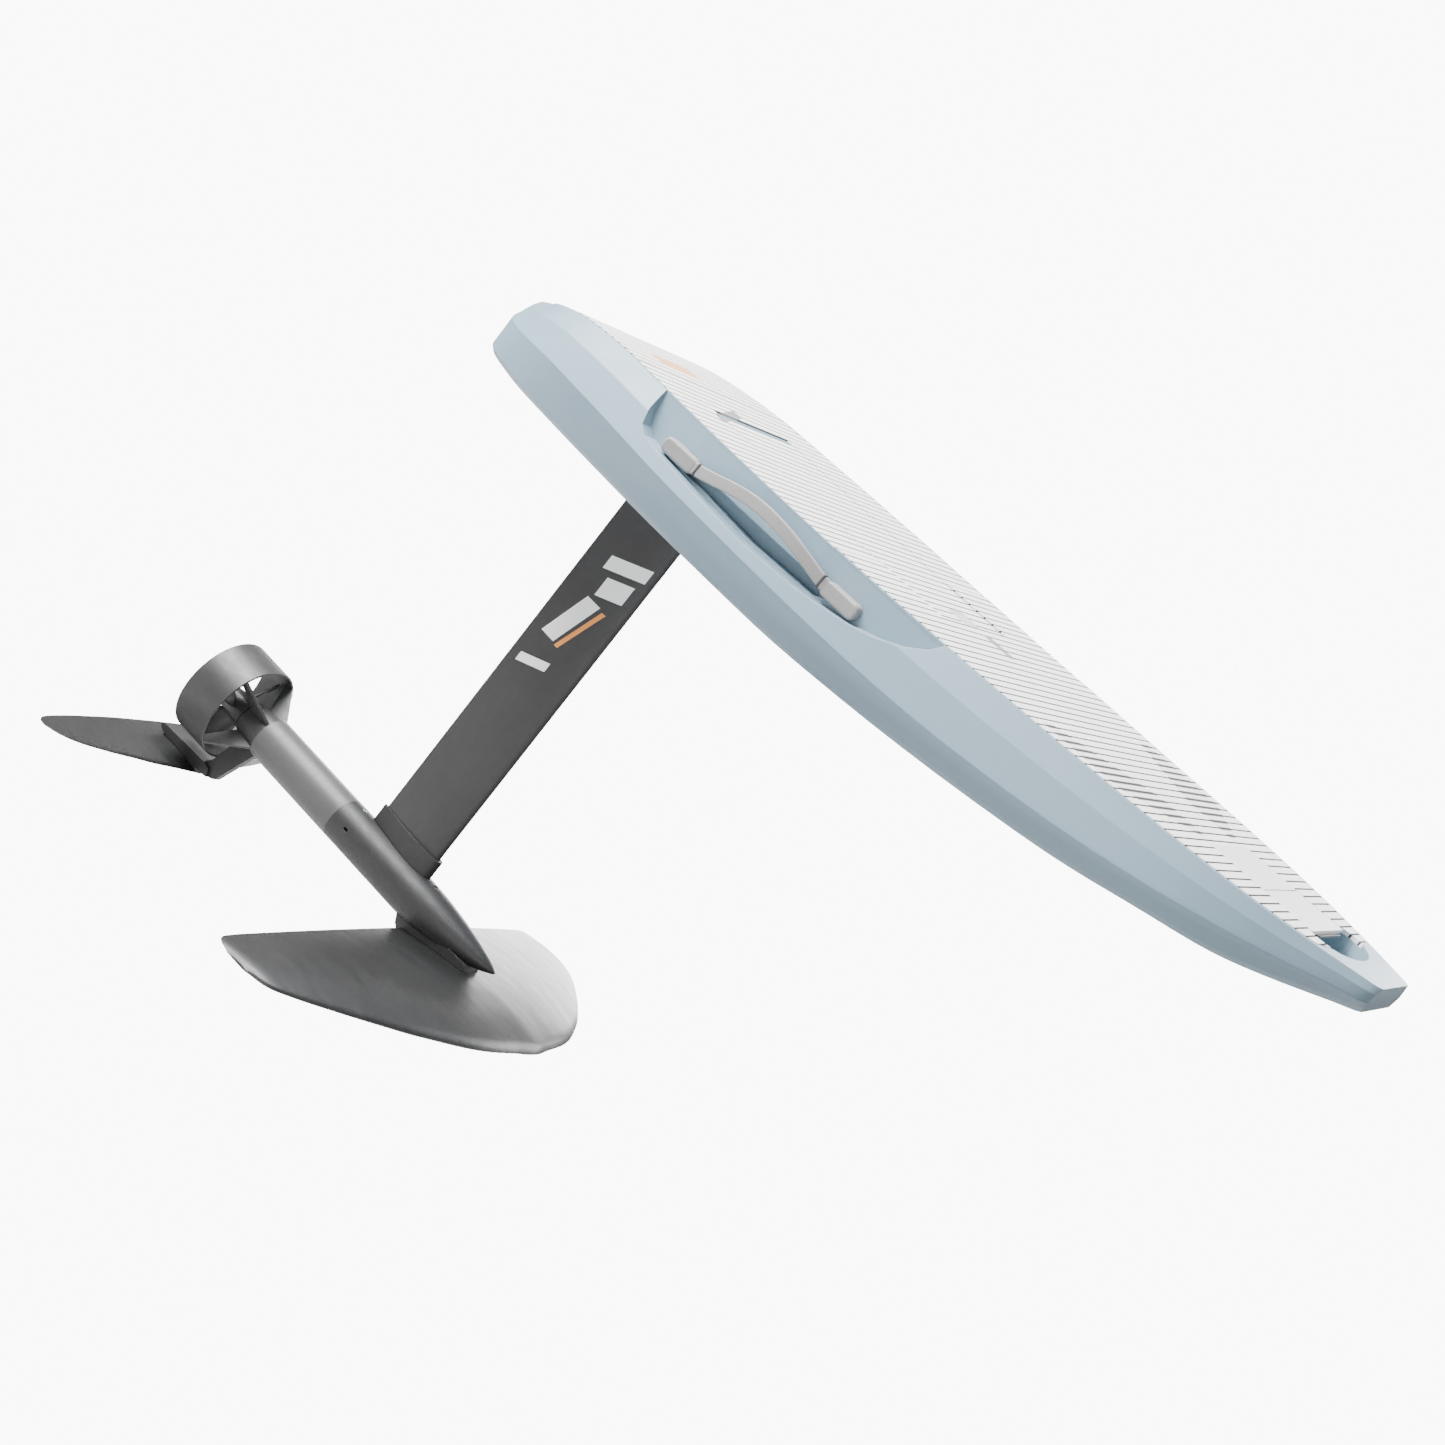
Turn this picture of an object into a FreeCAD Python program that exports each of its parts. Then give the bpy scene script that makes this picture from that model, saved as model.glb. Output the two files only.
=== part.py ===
"""Electric hydrofoil board: hull, mast, motor pod with ducted propeller, front wing and stabiliser.

Millimetres. +X points to the nose, +Y to port, +Z up. The origin is on the deck surface,
straight above the middle of the mast.
"""
import FreeCAD
import Part
import math
import os

V = FreeCAD.Vector

# ---------------------------------------------------------------- driving dimensions
BOARD_SCALE_X = 1.0        # stretches the hull stations along the board
BOARD_SCALE_Y = 1.0        # stretches the hull stations across the board
HULL_DEPTH = 149.0         # deck surface to flat bottom
PAD_THICK = 5.0
MAST_CHORD = 129.0
MAST_THICK = 18.0
COLLAR_TOP = -838.0
COLLAR_CHORD = 142.0
COLLAR_THICK = 28.0
POD_AXIS = -909.0          # height of the fuselage and motor axis
POD_R = 38.1
POD_JOINT = -114.4         # front body meets motor housing
MOTOR_REAR = -311.0
MOTOR_WALL = 3.1
SHAFT_R = 6.0
RUN_GAP = 0.05             # radial running clearance
DUCT_R = 90.7
DUCT_WALL = 4.2
DUCT_FRONT = -368.0
DUCT_REAR = -443.0
HUB_REAR = -361.0
PROP_GAP = 2.0             # blade tip to duct wall
PROP_X = -400.0
WING_SPAN = 893.0
WING_ROOT_TE = V(93.0, 0, -953.7)
WING_SLOPE = 0.0566        # nose-up setting, rise over run
WING_DROOP = 33.5
WING_T = 0.11
STAB_SPAN = 603.0
STAB_Z = -1042.5
STAB_T = 0.08
LEAD_R = 4.5
LEAD_X = 20.0
LID_X0 = 25.0
LID_X1 = 500.0
LID_HALF = 130.0
LID_THICK = 12.0
LID_GAP = 1.0
GROOVE_PITCH = 16.0
GROOVE_WIDE = 1.8
GROOVE_DEEP = 1.2

BOTTOM = -HULL_DEPTH
OUT = {}

# hull stations: x, deck half, deck z, rail half, rail z, chine half, chine z
STATIONS = [
    (-390, 8, -80, 22, -94, 30, -142),
    (-382, 15, -74, 42, -94, 48, -147),
    (-366, 26, -67, 72, -94, 78, -149),
    (-345, 36, -58, 112, -94, 112, -149),
    (-328, 52, -51, 148, -94, 142, -149),
    (-311, 84, -46, 174, -93.5, 172, -149),
    (-294, 120, -41, 194, -92.5, 198, -149),
    (-258, 184, -32, 226, -90, 220, -149),
    (-223, 210, -20, 250, -86, 240, -149),
    (-180, 226, -10.5, 269, -83, 258, -149),
    (-129, 243, -4.4, 287, -81, 270, -149),
    (-60, 261, 0.0, 304, -81, 284, -149),
    (0, 272, 0.3, 316, -82, 294, -149),
    (122, 290, 0.5, 334, -86, 311, -149),
    (247, 301, 0.5, 345, -88, 320, -149),
    (372, 305, 0.7, 349, -90, 324, -148.5),
    (498, 302, 1.8, 346, -91, 321, -143),
    (623, 297, 3.9, 340, -88, 315, -134),
    (748, 288, 6.3, 330, -79, 304, -122),
    (874, 274, 9.8, 314, -66, 289, -106.5),
    (999, 249, 13.4, 288, -47, 264, -84),
    (1090, 216, 16.2, 252, -31, 231, -69),
    (1160, 175, 18.9, 210, -18, 191, -50),
    (1215, 134, 21.2, 166, -7, 149, -32),
    (1250, 104, 22.6, 132, -2, 119, -21),
    (1264, 86, 23.2, 108, 0, 98, -17),
]


# ---------------------------------------------------------------- helpers
def box(x0, x1, y0, y1, z0, z1):
    return Part.makeBox(x1 - x0, y1 - y0, z1 - z0, V(x0, y0, z0))


def tube_x(x0, x1, r, y=0.0, z=POD_AXIS):
    return Part.makeCylinder(r, x1 - x0, V(x0, y, z), V(1, 0, 0))


def ring_x(x0, x1, r_out, r_in):
    return tube_x(x0, x1, r_out).cut(tube_x(x0 - 1, x1 + 1, r_in))


def cone_x(x0, r0, x1, r1):
    return Part.makeCone(r0, r1, x1 - x0, V(x0, 0, POD_AXIS), V(1, 0, 0))


def bar_z(x, y, z0, z1, r):
    return Part.makeCylinder(r, z1 - z0, V(x, y, z0), V(0, 0, 1))


def bar_y(x, z, y0, y1, r):
    return Part.makeCylinder(r, y1 - y0, V(x, y0, z), V(0, 1, 0))


def prism_xz(points, y0, y1):
    """Polygon in the XZ plane extruded from y0 to y1."""
    wire = Part.makePolygon([V(x, y0, z) for x, z in points + points[:1]])
    return Part.Face(wire).extrude(V(0, y1 - y0, 0))


def prism_xy(points, z0, z1):
    wire = Part.makePolygon([V(x, y, z0) for x, y in points + points[:1]])
    return Part.Face(wire).extrude(V(0, 0, z1 - z0))


def mirror(shape):
    return shape.mirror(V(0, 0, 0), V(0, 1, 0))


def fuse(shapes):
    first = shapes[0]
    for other in shapes[1:]:
        first = first.fuse(other)
    return first.removeSplitter()


def rounded(x0, x1, half, z0, z1, r):
    """Rounded rectangular block, corners of radius r about Z."""
    block = box(x0, x1, -half, half, z0, z1)
    edges = [e for e in block.Edges if abs(e.Vertexes[0].X - e.Vertexes[-1].X) < 1e-6
             and abs(e.Vertexes[0].Y - e.Vertexes[-1].Y) < 1e-6]
    return block.makeFillet(r, edges)


def foil_points(thick, camber, n=11):
    """Upper and lower half of a unit aerofoil, trailing edge at 0, leading edge at 1."""
    upper, lower = [], []
    for i in range(n):
        s = 0.5 * (1 - math.cos(math.pi * i / (n - 1)))
        t = 5 * thick * (0.2969 * math.sqrt(s) - 0.1260 * s - 0.3516 * s ** 2
                         + 0.2843 * s ** 3 - 0.1015 * s ** 4) + 0.0025 * s
        c = 4 * camber * s * (1 - s)
        upper.append((1 - s, c + t))
        lower.append((1 - s, c - t))
    return upper, lower


def foil_wire(place, thick, camber):
    """Closed section wire; place(u, w) maps the unit section to space."""
    upper, lower = foil_points(thick, camber)
    top = Part.BSplineCurve()
    top.interpolate([place(u, w) for u, w in reversed(upper)])
    low = Part.BSplineCurve()
    low.interpolate([place(u, w) for u, w in lower])
    tail = Part.makeLine(place(*lower[-1]), place(*upper[-1]))
    return Part.Wire([top.toShape(), low.toShape(), tail])


def curve(table, x):
    """Linear interpolation in a table of (x, value)."""
    for (x0, v0), (x1, v1) in zip(table, table[1:]):
        if x <= x1:
            return v0 + (v1 - v0) * (x - x0) / (x1 - x0)
    return table[-1][1]


def smooth(table, x):
    """Monotone cubic interpolation in a table of (x, value)."""
    xs = [p[0] for p in table]
    vs = [p[1] for p in table]
    steps = [b - a for a, b in zip(xs, xs[1:])]
    rises = [(b - a) / h for a, b, h in zip(vs, vs[1:], steps)]
    slopes = [rises[0]]
    for i in range(1, len(xs) - 1):
        before, after = rises[i - 1], rises[i]
        if before * after <= 0:
            slopes.append(0.0)
            continue
        w1 = 2 * steps[i] + steps[i - 1]
        w2 = steps[i] + 2 * steps[i - 1]
        slopes.append((w1 + w2) / (w1 / before + w2 / after))
    slopes.append(rises[-1])
    i = 0
    while i < len(xs) - 2 and x > xs[i + 1]:
        i += 1
    h = steps[i]
    t = (x - xs[i]) / h
    return (vs[i] * (1 + 2 * t) * (1 - t) ** 2 + slopes[i] * h * t * (1 - t) ** 2
            + vs[i + 1] * t ** 2 * (3 - 2 * t) + slopes[i + 1] * h * t ** 2 * (t - 1))


def stations():
    """Even hull stations, closer together at both ends, after the overall scales."""
    x0, x1 = STATIONS[0][0], STATIONS[-1][0]
    tables = [[(row[0], row[i]) for row in STATIONS] for i in range(1, 7)]
    scales = (BOARD_SCALE_Y, 1.0, BOARD_SCALE_Y, HULL_DEPTH / 149.0, BOARD_SCALE_Y, HULL_DEPTH / 149.0)
    out = []
    for i in range(35):
        t = i / 34.0
        t = 0.45 * t + 0.55 * 0.5 * (1 - math.cos(math.pi * t))
        x = x0 + (x1 - x0) * t
        values = [smooth(table, x) * k for table, k in zip(tables, scales)]
        out.append((x * BOARD_SCALE_X, *values))
    return out


HULL = stations()


def deck_half(x):
    return curve([(s[0], s[1]) for s in HULL], x)


def deck_z(x):
    height = curve([(s[0], s[2]) for s in HULL], x)
    return min(0.0, height) if -60 < x < 380 else height


def lead_path(r):
    """Round solid along the route of the power leads."""
    z_top, bend = -100.0, 20.0
    x = LEAD_X
    end = POD_JOINT - 8.0
    a = V(118, 0, z_top)
    b = V(x + bend, 0, z_top)
    c = V(x, 0, z_top - bend)
    d = V(x, 0, POD_AXIS + bend)
    e = V(x - bend, 0, POD_AXIS)
    f = V(end, 0, POD_AXIS)
    k = bend * (1 - math.sqrt(0.5))
    arc1 = Part.Arc(b, V(x + k, 0, z_top - k), c).toShape()
    arc2 = Part.Arc(d, V(x - k, 0, POD_AXIS + k), e).toShape()
    path = Part.Wire([Part.makeLine(a, b), arc1, Part.makeLine(c, d), arc2, Part.makeLine(e, f)])
    circle = Part.Wire(Part.makeCircle(r, a, V(-1, 0, 0)))
    return path.makePipeShell([circle], True, False)


LEAD_BORE = lead_path(LEAD_R + 0.5)


# ---------------------------------------------------------------- board
def hull_block():
    wires = []
    for x, yd, zd, yr, zr, yc, zc in HULL:
        half = [(yd, zd), (yd + 0.55 * (yr - yd), zd + 0.42 * (zr - zd)), (yr, zr),
                (yc + 2, zc + 8), (yc - 9, zc)]
        points = [V(x, y, z) for y, z in half] + [V(x, -y, z) for y, z in reversed(half)]
        wires.append(Part.makePolygon(points + points[:1]))
    return Part.makeLoft(wires, True, False)


def deck_layer(inset, drop, x0, x1):
    """Slab that follows the deck, inset from its edge, from `drop` below it to above it."""
    wires = []
    for x, yd, zd, *_ in HULL:
        y = max(20.0, yd - inset)
        wires.append(Part.makePolygon([V(x, y, zd - drop), V(x, -y, zd - drop), V(x, -y, zd + 0.9),
                                       V(x, y, zd + 0.9), V(x, y, zd - drop)]))
    slab = Part.makeLoft(wires, True, False)
    corner = prism_xy([(x0, -60), (x0 + 70, -190), (150, -400), (x1 - 60, -400), (x1, -60),
                       (x1, 60), (x1 - 60, 400), (150, 400), (x0 + 70, 190), (x0, 60)], -200, 60)
    return slab.common(corner)


def deck_grooves(x0, x1, half, top=None):
    """Shallow cross grooves at an even pitch, one land centred on the origin."""
    first = math.ceil(x0 / GROOVE_PITCH - 0.5)
    last = math.floor(x1 / GROOVE_PITCH - 0.5)
    cuts = []
    for i in range(first, last + 1):
        x = (i + 0.5) * GROOVE_PITCH
        level = top
        if top is None:
            level = 0.0 if -60 < x < 380 else deck_z(x) + 0.9
        cuts.append(box(x - GROOVE_WIDE / 2, x + GROOVE_WIDE / 2, -half, half,
                        level - GROOVE_DEEP, level + 6))
    return cuts


def scoop_tool():
    """Cut for one side handle: a cove along the port rail and a finger pocket in its wall."""
    cove = [(20, 12), (24, -8), (30, -30), (42, -52), (58, -61), (89, -64), (180, -70), (280, -73),
            (380, -69), (440, -62), (473, -57), (510, -48), (545, -34), (575, -14), (592, 12)]
    tool = prism_xz(cove, 150, 420)
    keep = []
    for x in (10, 120, 247, 372, 498, 620):
        y = deck_half(x)
        keep.append(Part.makePolygon([V(x, y - 2, 20), V(x, y - 2, -3), V(x, y + 9, -80),
                                      V(x, y - 200, -80), V(x, y - 200, 20), V(x, y - 2, 20)]))
    inner = Part.makeLoft(keep, True, True)
    pocket = prism_xz([(108, -63), (140, -48), (398, -46), (418, -58), (398, -66), (280, -70)],
                      deck_half(280) - 22, 420)
    return tool.cut(inner).fuse(pocket)


def build_board():
    hull = hull_block()
    pad = deck_layer(9.0, PAD_THICK, -345, 1190)
    flat = box(-60, 380, -400, 400, 0.0, 60)
    pad = pad.cut(flat)
    hull = hull.cut(flat).cut(pad)

    scoop = scoop_tool()
    hull = hull.cut(scoop).cut(mirror(scoop))

    # hatch rebate, battery bay, controller ledge
    rebate = rounded(LID_X0 - 0.5, LID_X1 + 2.0, LID_HALF + LID_GAP, -LID_THICK, 60, 8)
    side = LID_HALF + LID_GAP
    rebate = rebate.fuse(box(LID_X0 - 0.5, LID_X0 + 30, -side, side, -LID_THICK, 60)).removeSplitter()
    bay = rounded(110, 484, 116, -135, 10, 14)
    hull = hull.cut(rebate).cut(bay)
    pad = pad.cut(rebate)

    # nose recess and flap well
    recess = Part.makeCylinder(46, 90, V(1165, 0, -14), V(0, 0, 1))
    stretch = FreeCAD.Matrix()
    stretch.A22 = 2.43
    recess = recess.transformGeometry(stretch)
    well = box(1062, 1152, -96.5, 96.5, 4, 60)
    plate_well = box(976, 1062, -96.5, 96.5, deck_z(1019) - PAD_THICK - 1.5, 60)
    hull = hull.cut(recess).cut(well).cut(plate_well)
    pad = pad.cut(recess).cut(well).cut(plate_well)

    slope = math.degrees(math.atan((deck_z(1150) - deck_z(1062)) / 88.0))

    def on_deck(shape, x):
        shape.rotate(V(x, 0, deck_z(x)), V(0, 1, 0), -slope)
        return shape

    top = deck_z(1062) + 0.4
    nose_plate = box(976, 1070, -96, 96, deck_z(1019) - PAD_THICK - 1.5, 60)
    nose_plate = nose_plate.common(deck_layer(0.0, 30, 900, 1264))
    swing = prism_xz([(1065.6, top - 2.6), (1069.7, top + 6.6), (1082, top + 6.6), (1082, top - 2.6)],
                     -100, 100)
    nose_plate = nose_plate.cut(on_deck(bar_y(1070, top - 4.5, -100, 100, 4.8), 1062))
    nose_plate = nose_plate.cut(on_deck(swing, 1062))
    knuckle = bar_y(1070, top - 4.5, -95, 95, 4.5)
    flap = on_deck(box(1070, 1150, -95, 95, top - 6, top).fuse(knuckle).removeSplitter(), 1062)
    flap_pin = on_deck(bar_y(1070, top - 4.5, -108, 108, 2.0), 1062)
    flap_bore = on_deck(bar_y(1070, top - 4.5, -96, 96, 2.0 + 0.08), 1062)
    flap = flap.cut(flap_bore)
    lever_shape = [(1096, top - 6), (1150, top - 6), (1157, top - 3), (1157, top - 7),
                   (1146, top - 13), (1120, top - 12)]
    lever = on_deck(prism_xz(lever_shape, -62, 62), 1062)
    clear = on_deck(prism_xz([(1060, top - 10.5), (1080, top - 10.5), (1116, top - 14),
                              (1165, top - 16), (1165, top + 30), (1060, top + 30)], -96.5, 96.5), 1062)
    hull = hull.cut(clear)
    hull = hull.cut(flap_pin)
    pad = pad.cut(clear).cut(flap_pin)

    # mast head recess, screws and lead channel
    plate = rounded(-95, 95, 50, BOTTOM, BOTTOM + 10, 14)
    screws = []
    for sx in (-78, 78):
        for sy in (-34, 34):
            shank = bar_z(sx, sy, BOTTOM + 4, BOTTOM + 34, 4)
            head = bar_z(sx, sy, BOTTOM + 0.8, BOTTOM + 6, 7)
            socket = bar_z(sx, sy, BOTTOM, BOTTOM + 3.6, 3)
            screws.append(fuse([shank, head]).cut(socket))
    screw_group = Part.makeCompound(screws)
    head_room = Part.makeCompound([bar_z(sx, sy, BOTTOM - 1, BOTTOM + 6, 7)
                                   for sx in (-78, 78) for sy in (-34, 34)])
    plate = plate.cut(screw_group).cut(head_room)
    hull = hull.cut(rounded(-95, 95, 50, BOTTOM - 20, BOTTOM + 10, 14)).cut(screw_group)
    hull = hull.cut(LEAD_BORE)
    grommet = tube_x(108, 116, 9, 0, -100).cut(tube_x(100, 120, LEAD_R, 0, -100))
    hull = hull.cut(tube_x(108, 116, 9, 0, -100))

    # hatch lid with its pad, hinge pins and latch paddle
    hinge_x = LID_X0 + LID_THICK / 2
    hinge_z = -LID_THICK / 2 - 0.3
    lid_top = -0.3
    lid = rounded(hinge_x, LID_X1, LID_HALF, lid_top - LID_THICK + 0.6, lid_top, 7)
    lid = lid.fuse(box(hinge_x, hinge_x + 40, -LID_HALF, LID_HALF, lid_top - LID_THICK + 0.6, lid_top))
    lid = lid.fuse(bar_y(hinge_x, hinge_z, -LID_HALF, LID_HALF, LID_THICK / 2 - 0.3)).removeSplitter()
    lid_pad = rounded(hinge_x + 8, LID_X1 - 3, LID_HALF - 3, lid_top - 4, lid_top, 5)
    pins, pin_bores = [], []
    for side in (-1, 1):
        y0, y1 = sorted((side * (LID_HALF - 22), side * (LID_HALF + 18)))
        pins.append(bar_y(hinge_x, hinge_z, y0, y1, 2.5))
        y0, y1 = sorted((side * (LID_HALF - 22.5), side * (LID_HALF + 1)))
        pin_bores.append(bar_y(hinge_x, hinge_z, y0, y1, 2.5 + RUN_GAP))
    pin_group = Part.makeCompound(pins)
    hull = hull.cut(pin_group)
    pad = pad.cut(pin_group)
    latch_x = LID_X1 - 36
    paddle_room = box(latch_x - 3.6, LID_X1 + 1, -31, 31, lid_top - 5, lid_top + 1)
    paddle = box(latch_x, LID_X1 - 1.5, -30, 30, lid_top - 4.4, lid_top)
    paddle = paddle.fuse(bar_y(latch_x, lid_top - 2.4, -30, 30, 2.4)).removeSplitter()
    paddle_pin = bar_y(latch_x, lid_top - 2.4, -38, 38, 1.0)
    paddle = paddle.cut(bar_y(latch_x, lid_top - 2.4, -31, 31, 1.0 + RUN_GAP))
    lid_pad = lid_pad.cut(paddle_room).cut(paddle_pin)
    lid = lid.cut(rounded(hinge_x + 8, LID_X1 - 3, LID_HALF - 3, lid_top - 4, 10, 5))
    lid = lid.cut(paddle_room).cut(paddle_pin)
    for bore in pin_bores:
        lid = lid.cut(bore)
    seal = rounded(96, 494, 124, -LID_THICK - 2, lid_top - LID_THICK + 0.6, 18)
    seal = seal.cut(rounded(101, 489, 119, -LID_THICK - 5, 0, 14))
    hull = hull.cut(seal)

    # battery pack with end grip, and motor controller
    battery = rounded(150, 470, 104, -135, -40, 10)
    grip = box(200, 420, -10, 10, -40, -22).cut(box(212, 408, -11, 11, -40, -30))
    battery = battery.fuse(grip).removeSplitter()
    controller = box(112, 146, -90, 90, -135, -60)
    controller = controller.cut(tube_x(100, 118, LEAD_R, 0, -100)).cut(tube_x(100, 116.3, 9.3, 0, -100))

    # side handles
    for side, name in ((1, "port"), (-1, "starboard")):
        caps, strap = build_handle()
        OUT["handle_strap_" + name] = strap if side > 0 else mirror(strap)
        OUT["handle_caps_" + name] = caps if side > 0 else mirror(caps)
    hull = hull.cut(OUT["handle_caps_port"]).cut(OUT["handle_caps_starboard"])
    hull = hull.cut(OUT["handle_strap_port"]).cut(OUT["handle_strap_starboard"])
    hull = max(hull.Solids, key=lambda s: s.Volume)

    # cross grooves of the pads
    pad = pad.cut(deck_grooves(-340, 1190, 330))
    lid_pad = lid_pad.cut(deck_grooves(hinge_x + 12, LID_X1 - 6, LID_HALF + 5, lid_top))

    OUT["hull"] = hull
    OUT["deck_pad"] = pad
    OUT["hatch_lid"] = lid
    OUT["hatch_pad"] = lid_pad
    OUT["hatch_seal"] = seal
    OUT["hatch_hinge_pins"] = pin_group
    OUT["hatch_latch_paddle"] = paddle
    OUT["latch_paddle_pin"] = paddle_pin
    OUT["battery_pack"] = battery
    OUT["motor_controller"] = controller
    OUT["nose_plate"] = nose_plate
    OUT["nose_flap"] = flap
    OUT["nose_flap_lever"] = lever
    OUT["nose_flap_pin"] = flap_pin
    OUT["mast_head_plate"] = plate
    OUT["mast_head_screws"] = screw_group
    OUT["upper_lead_grommet"] = grommet


def build_handle():
    """Port side: two end caps seated on the cove wall and the strap between them."""
    caps = []
    for x0, x1, z in ((83, 146, -50.0), (408, 471, -44.0)):
        y = deck_half(0.5 * (x0 + x1)) + 2
        cap = box(x0, x1, y, y + 18, z - 12, z + 12)
        corners = [e for e in cap.Edges if abs(e.Vertexes[0].Y - e.Vertexes[-1].Y) > 1]
        cap = cap.makeFillet(9, corners)
        outer = [e for e in cap.Edges if e.BoundBox.YMin > y + 17.9]
        caps.append(cap.makeFillet(4, outer))
    ya = deck_half(114) + 9
    yb = deck_half(439) + 9
    centre = [(134, ya, -50), (154, ya + 5, -48), (215, ya + 17, -31), (279, ya + 22, -22),
              (342, yb + 17, -27), (400, yb + 5, -42), (420, yb, -44)]
    wires = []
    for i, (x, y, z) in enumerate(centre):
        before = centre[max(0, i - 1)]
        after = centre[min(len(centre) - 1, i + 1)]
        along = (V(*after) - V(*before)).normalize()
        wide = V(0, -0.25, 1)
        wide = (wide - along * wide.dot(along)).normalize()
        thin = along.cross(wide)
        c = V(x, y, z)
        a, b = wide * 9.0, thin * 3.0
        wires.append(Part.makePolygon([c + a + b, c - a + b, c - a - b, c + a - b, c + a + b]))
    strap = Part.makeLoft(wires, True, False)
    return Part.makeCompound([cap.cut(strap) for cap in caps]), strap


# ---------------------------------------------------------------- mast and pod
def strut_section(chord, thick, z0, z1):
    def place(u, w):
        return V(-chord / 2 + u * chord, w * chord, z0)
    wire = foil_wire(place, thick / chord, 0.0)
    return Part.Face(wire).extrude(V(0, 0, z1 - z0))


def pod_nose():
    """Round body with an upswept nose, from circles at (x, radius, rise of the centre)."""
    rings = [(60, POD_R, 0.0), (90, 0.979 * POD_R, 0.3), (120, 0.924 * POD_R, 1.0),
             (150, 0.827 * POD_R, 2.2), (180, 0.688 * POD_R, 4.0), (205, 0.535 * POD_R, 6.0),
             (228, 0.362 * POD_R, 8.2), (245, 0.199 * POD_R, 10.0), (257, 0.035 * POD_R, 11.0)]
    wires = [Part.Wire(Part.makeCircle(r, V(x, 0, POD_AXIS + rise), V(1, 0, 0))) for x, r, rise in rings]
    nose = Part.makeLoft(wires, True, False)
    return tube_x(POD_JOINT, 60, POD_R).fuse(nose).removeSplitter()


def wing_block():
    le = [(0, 395.2), (0.25, 377.8), (0.5, 332.8), (0.7, 279.5), (0.85, 232), (0.93, 203),
          (0.97, 183), (1.0, 146)]
    te = [(0, 93.0), (0.25, 91.4), (0.5, 86.5), (0.7, 80.2), (0.85, 74.0), (0.93, 71.0),
          (0.97, 74.0), (1.0, 104)]
    places = [0, 0.08, 0.16, 0.25, 0.35, 0.45, 0.55, 0.65, 0.74, 0.82, 0.88, 0.93, 0.965,
              0.985, 1.0]
    wires = []
    half = WING_SPAN / 2
    for s in [-v for v in reversed(places[1:])] + places:
        xl, xt = smooth(le, abs(s)), smooth(te, abs(s))
        chord = xl - xt
        z0 = WING_ROOT_TE.z - WING_DROOP * s * s + (xt - WING_ROOT_TE.x) * WING_SLOPE

        def place(u, w, xt=xt, chord=chord, z0=z0, s=s):
            return V(xt + u * chord, s * half, z0 + u * chord * WING_SLOPE + w * chord)
        wires.append(foil_wire(place, WING_T * (1 - 0.15 * abs(s)), 0.022))
    return Part.makeLoft(wires, True, False)


def stab_block():
    le = [(0, -378), (0.28, -391), (0.57, -409), (0.85, -432), (0.955, -452), (1.0, -468)]
    te = [(0, -509.5), (0.28, -508.5), (0.57, -504), (0.91, -494), (0.97, -489), (1.0, -480)]
    places = [0, 0.12, 0.25, 0.4, 0.55, 0.7, 0.82, 0.9, 0.955, 0.985, 1.0]
    wires = []
    half = STAB_SPAN / 2
    for s in [-v for v in reversed(places[1:])] + places:
        xl, xt = smooth(le, abs(s)), smooth(te, abs(s))
        chord = xl - xt

        def place(u, w, xt=xt, chord=chord, s=s):
            return V(xt + u * chord, s * half, STAB_Z + w * chord)
        wires.append(foil_wire(place, STAB_T, 0.0))
    return Part.makeLoft(wires, True, False)


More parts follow.
